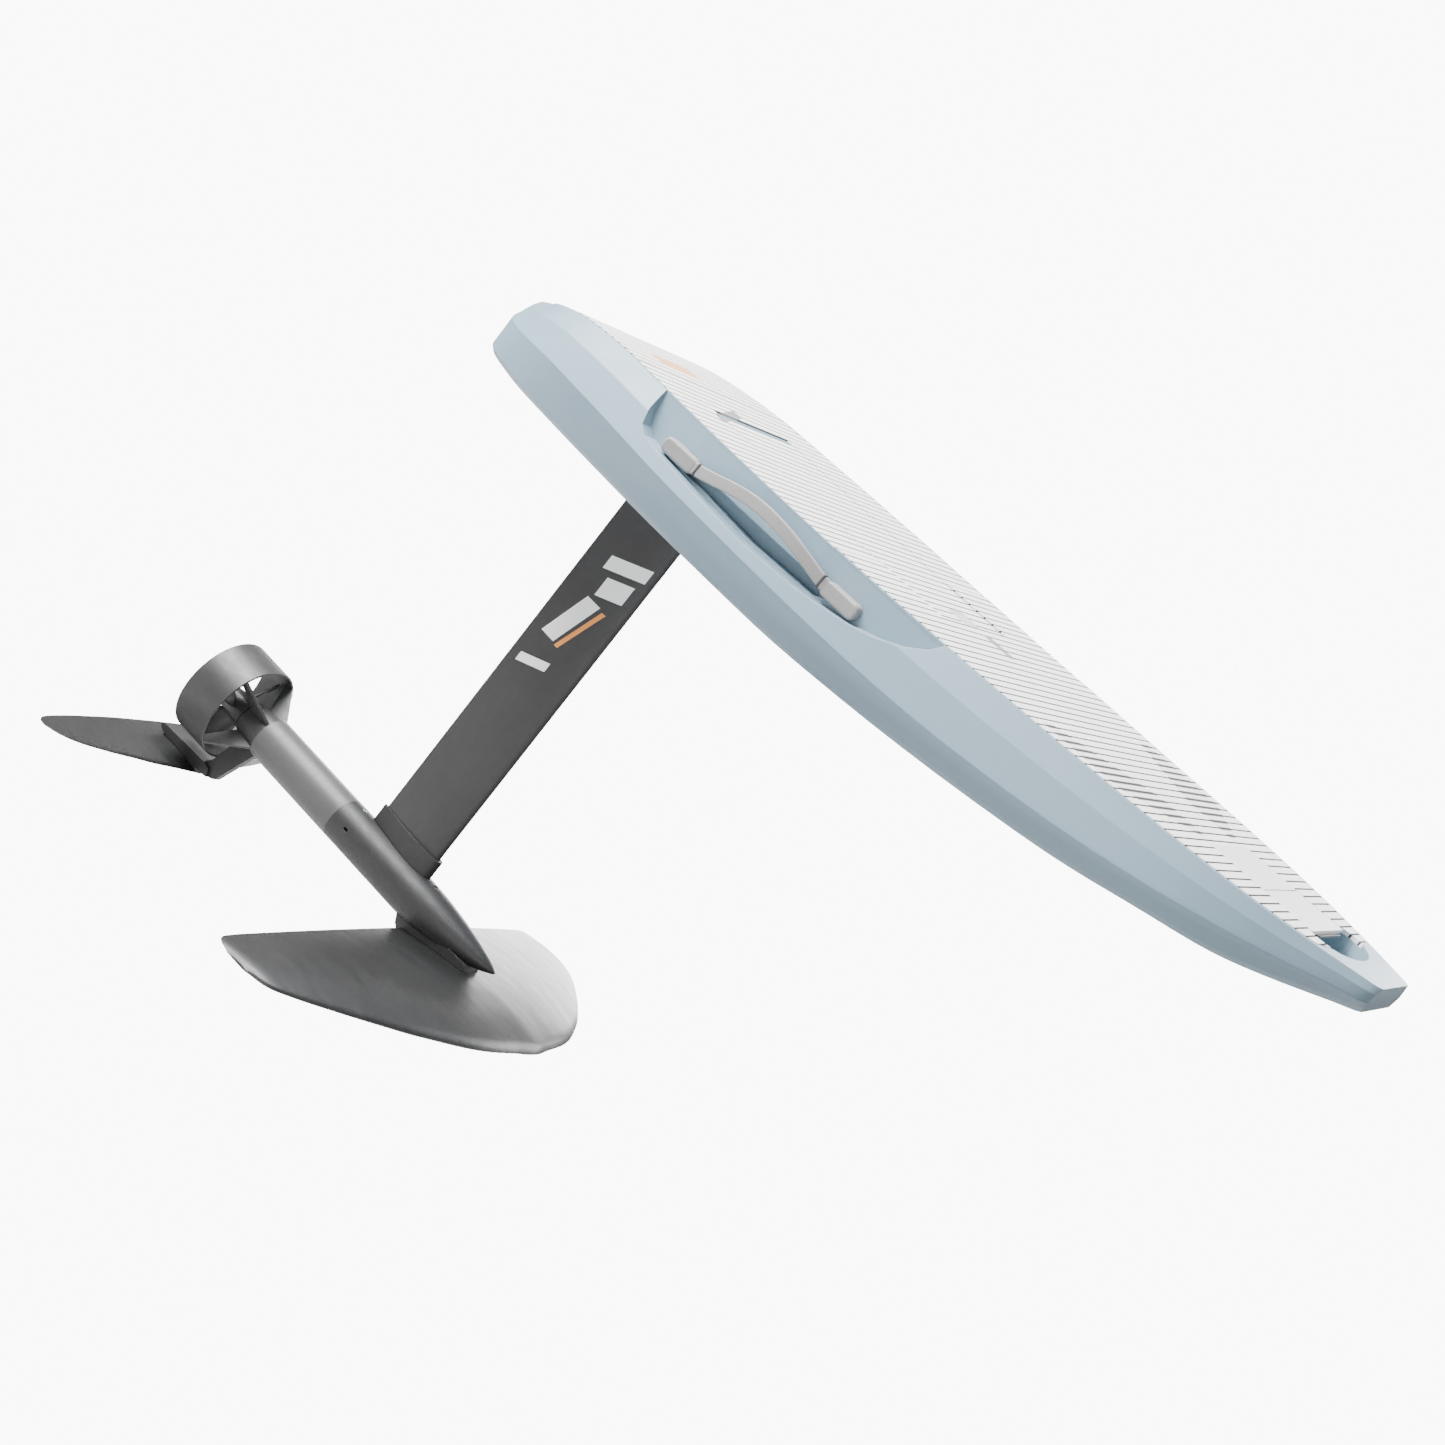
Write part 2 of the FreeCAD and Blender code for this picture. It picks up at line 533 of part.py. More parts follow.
def build_mast_and_body():
    mast = strut_section(MAST_CHORD, MAST_THICK, POD_AXIS + POD_R + 9, BOTTOM + 10)
    body = pod_nose()
    collar = strut_section(COLLAR_CHORD, COLLAR_THICK, POD_AXIS + 10, COLLAR_TOP)
    collar = collar.cut(body).cut(mast).cut(LEAD_BORE)
    collar = max(collar.Solids, key=lambda s: s.Volume)
    OUT["mast_head_plate"] = OUT["mast_head_plate"].cut(mast).cut(LEAD_BORE)
    mast = mast.cut(LEAD_BORE)
    leads = lead_path(LEAD_R)

    # wing, its two-piece mount and bolts
    wing_full = wing_block()
    wing = wing_full.cut(body)
    wing = max(wing.Solids, key=lambda s: s.Volume)
    rear = prism_xz([(71, POD_AXIS - 30), (79, POD_AXIS - 44), (87, POD_AXIS - 50), (112, POD_AXIS - 49),
                     (112, POD_AXIS - 20), (71, POD_AXIS - 20)], -22, 22)
    wedge = box(112, 222, -24, 24, POD_AXIS - 50, POD_AXIS - 6)
    rear = rear.cut(body).cut(wing_full)
    wedge = wedge.cut(body).cut(wing_full)
    rear = max(rear.Solids, key=lambda s: s.BoundBox.ZMax)
    wedge = Part.makeCompound([s for s in wedge.Solids if s.CenterOfMass.z > POD_AXIS - 44
                               and s.Volume > 50])
    bolts = []
    for x in (125, 160, 195):
        floor = wing_floor(wing_full, x)
        shank = bar_z(x, 0, floor + 3, POD_AXIS - 12, 3)
        head = Part.makeCone(6, 3, 4, V(x, 0, floor + 0.4), V(0, 0, 1))
        socket = bar_z(x, 0, floor, floor + 3, 2)
        bolts.append(fuse([head, shank]).cut(socket))
    bolt_group = Part.makeCompound(bolts)
    access = Part.makeCompound([bar_z(x, 0, wing_floor(wing_full, x) - 8,
                                      wing_floor(wing_full, x) + 0.4, 6) for x in (125, 160, 195)])
    wing = max(wing.cut(bolt_group).cut(access).Solids, key=lambda s: s.Volume)
    wedge = wedge.cut(bolt_group)
    body = body.cut(bolt_group).cut(LEAD_BORE)

    # body screws on the top line, side slot plug
    screws = []
    for x, sink in ((-92, 0.6), (88, 2.2)):
        top = POD_AXIS + POD_R - sink
        screw = bar_z(x, 0, top - 16, top - 3, 2.5).fuse(bar_z(x, 0, top - 3, top, 4.5))
        screws.append(screw.removeSplitter().cut(bar_z(x, 0, top - 1.8, top + 1, 2)))
    screw_group = Part.makeCompound(screws)
    wells = Part.makeCompound([bar_z(-92, 0, POD_AXIS + POD_R - 16.6, POD_AXIS + POD_R + 2, 2.5),
                               bar_z(88, 0, POD_AXIS + POD_R - 18.2, POD_AXIS + POD_R + 2, 2.5),
                               bar_z(-92, 0, POD_AXIS + POD_R - 3.6, POD_AXIS + POD_R + 2, 4.5),
                               bar_z(88, 0, POD_AXIS + POD_R - 5.2, POD_AXIS + POD_R + 2, 4.5)])
    body = body.cut(wells)
    drain = box(-84, -76, -POD_R - 2, -POD_R + 9, POD_AXIS + 4, POD_AXIS + 9)
    body = body.cut(drain).cut(mirror(drain))

    OUT["mast"] = mast
    OUT["mast_collar"] = collar
    OUT["power_leads"] = leads
    OUT["fuselage_body"] = body
    OUT["fuselage_screws"] = screw_group
    OUT["wing_mount_rear"] = rear
    OUT["wing_mount_wedge"] = wedge
    OUT["front_wing"] = wing
    OUT["wing_bolts"] = bolt_group


def wing_floor(wing, x):
    """Height of the wing's underside at y = 0."""
    probe = bar_z(x, 0, WING_ROOT_TE.z - 40, WING_ROOT_TE.z + 40, 0.5).common(wing)
    return probe.BoundBox.ZMin


# ---------------------------------------------------------------- motor and propeller
def build_motor():
    inner = POD_R - MOTOR_WALL
    housing = ring_x(MOTOR_REAR, POD_JOINT, POD_R, inner)
    front_cap = fuse([tube_x(POD_JOINT - 12, POD_JOINT, inner), tube_x(POD_JOINT - 24, POD_JOINT - 12, 15)])
    front_cap = front_cap.cut(tube_x(POD_JOINT - 24, POD_JOINT - 14, 11))
    front_cap = front_cap.cut(tube_x(POD_JOINT - 10, POD_JOINT, 8))
    grommet = tube_x(POD_JOINT - 8, POD_JOINT, 8).cut(tube_x(POD_JOINT - 8, POD_JOINT, LEAD_R))
    bearing_f = ring_x(POD_JOINT - 23, POD_JOINT - 15, 11, SHAFT_R + RUN_GAP)
    rear_cap = fuse([tube_x(MOTOR_REAR, MOTOR_REAR + 12, inner), tube_x(MOTOR_REAR, MOTOR_REAR + 20, 15)])
    rear_cap = rear_cap.cut(tube_x(MOTOR_REAR, MOTOR_REAR + 20, 11))
    bearing_r = ring_x(MOTOR_REAR + 10, MOTOR_REAR + 18, 11, SHAFT_R + RUN_GAP)
    stator = ring_x(MOTOR_REAR + 34, POD_JOINT - 34, inner, 22.0)
    slots = []
    for i in range(12):
        slot = box(MOTOR_REAR + 30, POD_JOINT - 30, -1.6, 1.6, POD_AXIS + 21, POD_AXIS + 30)
        slot.rotate(V(0, 0, POD_AXIS), V(1, 0, 0), 30 * i)
        slots.append(slot)
    stator = stator.cut(Part.makeCompound(slots))
    rotor = ring_x(MOTOR_REAR + 38, POD_JOINT - 38, 21.2, SHAFT_R)
    shaft = tube_x(-440, POD_JOINT - 17, SHAFT_R)

    # duct with its hub and four swept stays
    ring = ring_x(DUCT_REAR, DUCT_FRONT, DUCT_R, DUCT_R - DUCT_WALL)
    lip = [e for e in ring.Edges if abs(e.BoundBox.XMax - e.BoundBox.XMin) < 1e-3]
    ring = ring.makeFillet(1.6, lip)
    hub = cone_x(HUB_REAR, 29.5, MOTOR_REAR, 35.0)
    stays = []
    for turn in (45, 135, 225, 315):
        stay = prism_xz([(MOTOR_REAR, POD_AXIS + 30), (MOTOR_REAR, POD_AXIS + 34),
                         (DUCT_FRONT, POD_AXIS + DUCT_R - 2), (DUCT_FRONT - 16, POD_AXIS + DUCT_R - 2),
                         (HUB_REAR + 8, POD_AXIS + 28)], -2.5, 2.5)
        stay.rotate(V(0, 0, POD_AXIS), V(1, 0, 0), turn)
        stays.append(stay)
    duct = fuse([hub] + stays + [ring])
    duct = duct.cut(tube_x(HUB_REAR - 1, MOTOR_REAR + 1, 12.0))
    seal = ring_x(HUB_REAR + 2, HUB_REAR + 11, 12.0, SHAFT_R + RUN_GAP)

    # propeller
    prop_hub = cone_x(-426, 19.5, HUB_REAR - 3, 28.0)
    blades = []
    for i in range(3):
        blade = build_blade()
        blade.rotate(V(0, 0, POD_AXIS), V(1, 0, 0), 180 + 120 * i)
        blades.append(blade)
    prop = fuse([prop_hub] + blades)
    prop = prop.cut(tube_x(-430, -360, SHAFT_R))
    nut_profile = [V(-426, 0, POD_AXIS), V(-426, 0, POD_AXIS + 19.0), V(-438, 0, POD_AXIS + 15.5),
                   V(-449, 0, POD_AXIS + 8.5), V(-454, 0, POD_AXIS + 2.0), V(-454, 0, POD_AXIS)]
    nut = Part.Face(Part.makePolygon(nut_profile + nut_profile[:1]))
    nut = nut.revolve(V(0, 0, POD_AXIS), V(1, 0, 0), 360).cut(shaft)

    OUT["motor_housing"] = housing
    OUT["motor_front_cap"] = front_cap
    OUT["lower_lead_grommet"] = grommet
    OUT["front_bearing"] = bearing_f
    OUT["motor_rear_cap"] = rear_cap
    OUT["rear_bearing"] = bearing_r
    OUT["stator"] = stator
    OUT["rotor"] = rotor
    OUT["propeller_shaft"] = shaft
    OUT["duct_with_stays"] = duct
    OUT["shaft_seal"] = seal
    OUT["propeller"] = prop
    OUT["propeller_nut"] = nut


def build_blade():
    """One blade pointing up, lofted from twisted sections."""
    tip = DUCT_R - DUCT_WALL - PROP_GAP
    table = [(16.0, 34, 58, 0.20), (32.0, 42, 44, 0.13), (50.0, 46, 34, 0.09), (68.0, 42, 27, 0.075),
             (tip - 5, 30, 24, 0.07), (tip, 17, 23, 0.08)]
    wires = []
    for r, chord, pitch, thick in table:
        a = math.radians(pitch)

        def place(u, w, r=r, chord=chord, a=a):
            s, t = (u - 0.5) * chord, w * chord
            return V(PROP_X + s * math.sin(a) + t * math.cos(a),
                     -s * math.cos(a) + t * math.sin(a), POD_AXIS + r)
        wires.append(foil_wire(place, thick, 0.03))
    return Part.makeLoft(wires, True, False)


# ---------------------------------------------------------------- tail
def build_tail():
    z_low = STAB_Z + 0.5 * STAB_T * 125 + 2.0
    leg = prism_xz([(MOTOR_REAR, POD_AXIS - 18), (MOTOR_REAR, POD_AXIS - 39), (-343, z_low + 9),
                    (-348, z_low + 6), (-358, z_low + 2.5), (-368, z_low + 0.6), (-384, z_low),
                    (-380, z_low + 17), (-368.5, z_low + 30), (-352, POD_AXIS - 40),
                    (-346, POD_AXIS - 18)], -7, 7)
    boom = prism_xz([(-356, z_low + 3.2), (-364, z_low + 1.2), (-374, z_low), (-470, z_low),
                     (-481, z_low + 3), (-486, z_low + 8), (-482, z_low + 13), (-395, z_low + 17),
                     (-372, z_low + 18), (-362, z_low + 16)], -12, 12)
    hub = cone_x(HUB_REAR, 29.5, MOTOR_REAR, 35.0)
    bracket = fuse([leg, boom]).cut(hub).cut(tube_x(-400, MOTOR_REAR, 29))
    bracket = max(bracket.Solids, key=lambda s: s.Volume)
    lean = V(0.3, 0, 1).normalize()
    foot = V(-368.5, 0, z_low + 22)
    screw = Part.makeCylinder(5, 26, foot, lean).fuse(Part.makeCylinder(3, 12, foot + lean * 26, lean))
    screw = screw.removeSplitter()
    keep_off = tube_x(DUCT_REAR, DUCT_FRONT, DUCT_R)
    screw = screw.cut(keep_off)
    screw = max(screw.Solids, key=lambda s: s.Volume)
    bracket = bracket.cut(screw)
    shim = rounded(-474, -376, 11, STAB_Z, z_low, 10)
    stab_full = stab_block()
    shim = shim.cut(stab_full)
    shim = max(shim.Solids, key=lambda s: s.BoundBox.ZMax)
    screws, rooms = [], []
    for x in (-462, -392):
        under = STAB_Z - 2.5
        stem_and_head = fuse([bar_z(x, 0, under + 2, z_low + 8, 2.5), bar_z(x, 0, under, under + 2.2, 4.2)])
        screws.append(stem_and_head.cut(bar_z(x, 0, under - 1, under + 1.6, 1.8)))
        rooms.append(bar_z(x, 0, under - 10, under + 2.2, 4.2))
    screw_group = Part.makeCompound(screws)
    stab = stab_full.cut(Part.makeCompound(rooms)).cut(screw_group)
    shim = shim.cut(screw_group)
    bracket = bracket.cut(screw_group)
    OUT["tail_bracket"] = bracket
    OUT["tail_bracket_screw"] = screw
    OUT["stabiliser_shim"] = shim
    OUT["stabiliser"] = stab
    OUT["stabiliser_screws"] = screw_group


def main():
    os.makedirs("parts", exist_ok=True)
    build_board()
    build_mast_and_body()
    build_motor()
    build_tail()
    for name, shape in OUT.items():
        solids = shape.Solids
        clean = solids[0] if len(solids) == 1 else Part.makeCompound(solids)
        clean.exportStep("parts/%s.step" % name)
        print(name, len(solids), clean.isValid(), round(clean.Volume / 1000, 1),
              [round(v, 1) for v in (clean.BoundBox.XMin, clean.BoundBox.XMax, clean.BoundBox.YMin,
                                     clean.BoundBox.YMax, clean.BoundBox.ZMin, clean.BoundBox.ZMax)])


main()
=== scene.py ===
"""Electric hydrofoil board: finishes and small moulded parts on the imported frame, laid out as an add-on."""
import math

import bpy
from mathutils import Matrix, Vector


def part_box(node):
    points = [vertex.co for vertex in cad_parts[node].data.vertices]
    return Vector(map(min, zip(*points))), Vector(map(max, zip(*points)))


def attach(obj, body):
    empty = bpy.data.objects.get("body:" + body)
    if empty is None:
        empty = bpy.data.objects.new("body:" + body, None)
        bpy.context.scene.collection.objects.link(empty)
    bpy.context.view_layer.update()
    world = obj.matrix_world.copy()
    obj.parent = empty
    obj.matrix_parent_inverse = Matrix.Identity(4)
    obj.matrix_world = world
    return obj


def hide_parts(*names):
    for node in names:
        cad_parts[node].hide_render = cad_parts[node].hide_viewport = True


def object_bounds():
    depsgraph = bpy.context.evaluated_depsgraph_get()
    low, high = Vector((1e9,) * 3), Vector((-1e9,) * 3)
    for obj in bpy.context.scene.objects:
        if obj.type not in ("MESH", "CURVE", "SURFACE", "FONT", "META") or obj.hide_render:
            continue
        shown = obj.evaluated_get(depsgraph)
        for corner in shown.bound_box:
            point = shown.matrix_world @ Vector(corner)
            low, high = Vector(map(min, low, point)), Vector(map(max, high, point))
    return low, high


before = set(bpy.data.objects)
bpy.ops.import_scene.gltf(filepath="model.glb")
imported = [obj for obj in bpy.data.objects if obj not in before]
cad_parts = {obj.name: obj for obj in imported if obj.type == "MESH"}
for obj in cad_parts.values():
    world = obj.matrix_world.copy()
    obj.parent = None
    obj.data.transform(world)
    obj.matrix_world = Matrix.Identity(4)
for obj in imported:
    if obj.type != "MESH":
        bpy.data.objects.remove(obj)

CAD_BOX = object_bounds()

bl_info = {
    "name": "Foil Board Builder",
    "version": (1, 0, 0),
    "blender": (4, 5, 0),
    "location": "View3D > Sidebar > Foil Board",
    "description": "Finishes and moulded parts of an electric hydrofoil board",
    "category": "Object",
}


# ---------------------------------------------------------------- shape and place of the details
ROCKER_FROM = 0.3            # the bottom is flat aft of this station and rises ahead of it
ROCKER_RISE = 0.128          # rise over the square of the distance ahead
BOTTOM_DEPTH = 0.149
CHINE_SHADE_TOP = 0.046            # height above the bottom where the painted shade along the chine fades out
# height above the bottom below which the painted shade along the chine is at full strength
CHINE_SHADE_FOOT = 0.026
BAND_FROM, BAND_TO = 0.735, 0.965        # stations of the line work near the nose
FINE_PITCH = 0.0055          # spacing of that line work's lengthwise lines
# Printed stripes on the mast: low and high along its slant, then aft and forward edges.
MAST_STRIPES = ((-0.306, -0.282, -0.022, 0.052),
                (-0.352, -0.318, -0.004, 0.044),
                (-0.500, -0.484, -0.046, 0.010))
# Strap centre line: station, distance outboard of the cap's inner face, height.
STRAP_PATH = ((0.154, 0.0145, -0.048), (0.184, 0.021, -0.040), (0.215, 0.0270, -0.031),
              (0.247, 0.0315, -0.0245), (0.279, 0.0345, -0.022), (0.311, 0.0365, -0.0235),
              (0.342, 0.0365, -0.027), (0.372, 0.034, -0.034), (0.400, 0.0295, -0.0405))
STRAP_REAR = (0.0095, -0.050)
STRAP_FRONT = (0.0255, -0.044)
# Bands at the caps: name, station, distance outboard, height, lean.
STRAP_BANDS = (("rear", 0.1505, 0.0138, -0.0482, -0.10), ("front", 0.4035, 0.0289, -0.0407, 0.10))
CAMERA_PLACE = (1.65718, -3.3681, 0.52282)
CAMERA_TURN = (1.268844, -0.657089, 0.57382)
CAMERA_LENS = 62.7399


# ---------------------------------------------------------------- settings
def colour(name, description, default):
    return bpy.props.FloatVectorProperty(name=name, description=description, default=default,
                                         size=3, min=0.0, max=1.0, subtype="COLOR")


def length(name, description, default):
    return bpy.props.FloatProperty(name=name, description=description, default=default,
                                   min=0.0, subtype="DISTANCE", unit="LENGTH")


class FOIL_PG_board(bpy.types.PropertyGroup):
    """Colours and sizes of the board."""
    gelcoat: colour("Gelcoat", "Hull side colour", (0.222, 0.315, 0.385))
    # The deeper gelcoat gives the cloudy patches and, darkened further, the painted shade along the chine.
    gelcoat_cloud_and_chine_shade: colour("Deep gelcoat", "Hull colour in its cloudier patches", (0.203, 0.295, 0.365))
    foam: colour("Deck foam", "Top of the deck pad", (0.86, 0.86, 0.85))
    groove: colour("Groove", "Floor of the pad's cross grooves", (0.055, 0.058, 0.06))
    emblem: colour("Emblem grey", "Plain panel let into the pad", (0.24, 0.24, 0.245))
    accent: colour("Accent", "Orange marks on deck and mast", (0.80, 0.29, 0.06))
    groove_pitch: length("Groove pitch", "Distance between the pad's cross grooves", 0.016)
    groove_wide: length("Groove width", "Width of one cross groove", 0.0036)
    strap_wide: length("Strap width", "Width of the side handle's strap", 0.019)
    strap_thick: length("Strap thickness", "Thickness of the side handle's strap", 0.0075)
    strap: colour("Strap", "Rubber of the side handles", (0.30, 0.29, 0.285))


class FOIL_PG_foil(bpy.types.PropertyGroup):
    """Colours of the mast, the pod and the wings."""
    mast: colour("Mast", "Mast surface", (0.034, 0.034, 0.035))
    body: colour("Body", "Front body and collar", (0.020, 0.020, 0.021))
    motor: colour("Motor", "Motor housing", (0.075, 0.075, 0.076))
    duct: colour("Duct", "Duct and propeller", (0.034, 0.034, 0.035))
    wing: colour("Wing", "Front wing and stabiliser", (0.010, 0.010, 0.0105))
    print_white: colour("White print", "White stripes on the mast", (0.88, 0.88, 0.88))


class FOIL_PG_stage(bpy.types.PropertyGroup):
    """Floor and lights."""
    floor_drop: length("Floor drop", "Gap between the lowest piece and the floor", 0.55)
    floor_size: length("Floor size", "Side of the floor", 40.0)
    key: bpy.props.FloatProperty(name="Key light", description="Power of the big top light", default=1000.0,
                                 min=0.0, unit="POWER")
    fill: bpy.props.FloatProperty(name="Fill light", description="Power of the front light", default=110.0,
                                  min=0.0, unit="POWER")
    backdrop: bpy.props.FloatProperty(name="Backdrop", description="Brightness of the plain backdrop",
                                      default=10.0, min=0.0)
    card: bpy.props.FloatProperty(name="Low card", description="Power of the low light beyond the wing",
                                  default=120.0, min=0.0, unit="POWER")
    rim: bpy.props.FloatProperty(name="Rim light", description="Power of the back light", default=260.0,
                                 min=0.0, unit="POWER")


# ---------------------------------------------------------------- material tools
class Finish:
    """A material with its shader, and short ways to add the nodes that drive it."""

    def __init__(self, name, roughness=0.5, metallic=0.0, coat=0.0, specular=0.5, sheen=0.0):
        self.material = bpy.data.materials.new(name)
        self.material.use_nodes = True
        self.nodes = self.material.node_tree.nodes
        self.links = self.material.node_tree.links
        self.shader = self.nodes["Principled BSDF"]
        self.shader.inputs["Roughness"].default_value = roughness
        self.shader.inputs["Metallic"].default_value = metallic
        self.shader.inputs["Coat Weight"].default_value = coat
        self.shader.inputs["Coat Roughness"].default_value = 0.25
        self.shader.inputs["Specular IOR Level"].default_value = specular
        self.shader.inputs["Sheen Weight"].default_value = sheen
        self.place = self.nodes.new("ShaderNodeTexCoord").outputs["Object"]

    def node(self, kind, *inputs, **settings):
        made = self.nodes.new(kind)
        for key, value in settings.items():
            setattr(made, key, value)
        for socket, value in inputs:
            self.feed(made.inputs[socket], value)
        return made

    def feed(self, socket, value):
        if isinstance(value, bpy.types.NodeSocket):
            self.links.new(value, socket)
        else:
            socket.default_value = value

    def math(self, operation, a, b=0.0, c=0.0):
        made = self.node("ShaderNodeMath", (0, a), (1, b), (2, c), operation=operation)
        return made.outputs[0]

    def axes(self):
        split = self.node("ShaderNodeSeparateXYZ", (0, self.place))
        return split.outputs[0], split.outputs[1], split.outputs[2]

    def noise(self, scale, detail=3.0, rough=0.5, stretch=(1.0, 1.0, 1.0)):
        where = self.node("ShaderNodeMapping", ("Vector", self.place), ("Scale", stretch)).outputs[0]
        return self.node("ShaderNodeTexNoise", ("Vector", where), ("Scale", scale), ("Detail", detail),
                         ("Roughness", rough)).outputs["Fac"]

    def ramp(self, value, low, high):
        """0 below low, 1 above high."""
        return self.node("ShaderNodeMapRange", (0, value), (1, low), (2, high), (3, 0.0),
                         (4, 1.0)).outputs[0]

    def between(self, value, low, high):
        above = self.math("GREATER_THAN", value, low)
        below = self.math("LESS_THAN", value, high)
        return self.math("MULTIPLY", above, below)

    def mix(self, amount, a, b):
        made = self.node("ShaderNodeMix", data_type="RGBA")
        self.feed(made.inputs[0], amount)
        self.feed(made.inputs[6], a)
        self.feed(made.inputs[7], b)
        return made.outputs[2]

    def colour(self, value):
        self.feed(self.shader.inputs["Base Color"], value)

    def roughness(self, value, low, high):
        made = self.node("ShaderNodeMapRange", (0, value), (1, 0.3), (2, 0.7), (3, low), (4, high))
        self.links.new(made.outputs[0], self.shader.inputs["Roughness"])

    def relief(self, heights, edge=0.0008):
        """heights is a list of (height socket, strength, distance), laid one over the other."""
        normal = None
        if edge > 0:
            normal = self.node("ShaderNodeBevel", ("Radius", edge), samples=4).outputs[0]
        for height, strength, distance in heights:
            bump = self.node("ShaderNodeBump", ("Strength", strength), ("Distance", distance),
                             ("Height", height))
            if normal is not None:
                self.links.new(normal, bump.inputs["Normal"])
            normal = bump.outputs[0]
        self.links.new(normal, self.shader.inputs["Normal"])


def rgba(values, gain=1.0):
    return (min(1.0, values[0] * gain), min(1.0, values[1] * gain), min(1.0, values[2] * gain), 1.0)


def paint(finish, *names):
    """Puts a finish in every material slot of these CAD nodes."""
    for name in names:
        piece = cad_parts[name]
        if not piece.material_slots:
            piece.data.materials.append(finish.material)
        for slot in piece.material_slots:
            slot.material = finish.material


def moulded(name, tone, low=0.42, high=0.6, grain=900.0, spread=0.10, depth=0.00010, edge=0.0008, **shader):
    """Moulded or coated surface: cloudy tone, fine grain, faint scuffs, softened edges."""
    finish = Finish(name, **shader)
    cloud = finish.noise(7.0, 4.0, 0.55)
    speck = finish.noise(grain, 2.0, 0.6)
    scuff = finish.noise(38.0, 6.0, 0.65, (1.0, 3.0, 0.6))
    base = finish.mix(finish.ramp(cloud, 0.35, 0.65), rgba(tone, 1.0 - spread), rgba(tone, 1.0 + spread))
    worn = finish.mix(finish.ramp(scuff, 0.62, 0.78), base, rgba(tone, 1.0 + 2.2 * spread))
    finish.colour(worn)
    finish.roughness(scuff, low, high)
    finish.relief([(speck, 0.35, depth), (scuff, 0.12, depth * 2)], edge)
    return finish


# ---------------------------------------------------------------- modelling tools
def clear_selection():
    if bpy.context.object and bpy.context.object.mode != "OBJECT":
        bpy.ops.object.mode_set(mode="OBJECT")
    bpy.ops.object.select_all(action="DESELECT")


def select_faces(piece, test):
    """In edit mode, selects only the faces whose centre and normal pass the test."""
    bpy.ops.mesh.select_mode(type="FACE")
    bpy.ops.mesh.select_all(action="DESELECT")
    bpy.ops.object.mode_set(mode="OBJECT")
    for face in piece.data.polygons:
        face.select = bool(test(face.center, face.normal))
    bpy.ops.object.mode_set(mode="EDIT")


def apply_all(piece):
    clear_selection()
    piece.select_set(True)
    bpy.context.view_layer.objects.active = piece
    for modifier in list(piece.modifiers):
        bpy.ops.object.modifier_apply(modifier=modifier.name)
    bpy.ops.object.transform_apply(location=True, rotation=True, scale=True)


def tidy(piece):
    """Merges doubles, turns the faces outwards and smooths the shading."""
    clear_selection()
    piece.select_set(True)
    bpy.context.view_layer.objects.active = piece
    bpy.ops.object.mode_set(mode="EDIT")
    bpy.ops.mesh.select_all(action="SELECT")
    bpy.ops.mesh.remove_doubles(threshold=0.00001)
    bpy.ops.mesh.normals_make_consistent(inside=False)
    bpy.ops.object.mode_set(mode="OBJECT")
    bpy.ops.object.shade_smooth_by_angle(angle=math.radians(35))


def finish_piece(piece, name, body, finish):
    piece.name = name
    piece.data.name = name
    piece.data.materials.clear()
    piece.data.materials.append(finish.material)
    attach(piece, body)
    return piece


# ---------------------------------------------------------------- board
class FOIL_OT_hull(bpy.types.Operator):
    """Satin gelcoat on the hull and the hatch lid, with painted shade darkening it along the chine"""
    bl_idname = "foil.hull"
    bl_label = "Hull finish"

    def execute(self, context):
        board = context.scene.foil_board
        gel = Finish("hull_gelcoat", roughness=0.42, coat=0.15, specular=0.45)
        cloud = gel.noise(3.0, 4.0, 0.5)
        peel = gel.noise(260.0, 2.0, 0.5)
        scuff = gel.noise(22.0, 7.0, 0.7, (0.4, 2.0, 2.0))
        body = gel.mix(gel.ramp(cloud, 0.3, 0.7), rgba(board.gelcoat_cloud_and_chine_shade), rgba(board.gelcoat))
        x, _, z = gel.axes()
        ahead = gel.math("MAXIMUM", 0.0, gel.math("SUBTRACT", x, ROCKER_FROM))
        rise = gel.math("MULTIPLY", gel.math("POWER", ahead, 2.0), ROCKER_RISE)
        above = gel.math("ADD", gel.math("SUBTRACT", z, rise), BOTTOM_DEPTH)
        # Painted shade: the gelcoat darkens near the bottom along the chine, more strongly toward the nose.
        low = gel.math("MULTIPLY", gel.ramp(above, CHINE_SHADE_TOP, CHINE_SHADE_FOOT), gel.ramp(x, -0.1, 0.5))
        shaded = gel.mix(gel.math("MULTIPLY", low, 0.6), body, rgba(board.gelcoat_cloud_and_chine_shade, 0.62))
        marks = gel.mix(gel.math("MULTIPLY", gel.ramp(scuff, 0.66, 0.8), 0.18), shaded,
                        rgba(board.gelcoat, 1.25))
        gel.colour(marks)
        gel.roughness(scuff, 0.36, 0.50)
        gel.relief([(peel, 0.08, 0.0004), (cloud, 0.05, 0.002)], 0.0022)
        paint(gel, "hull", "hatch_lid")
        return {"FINISHED"}


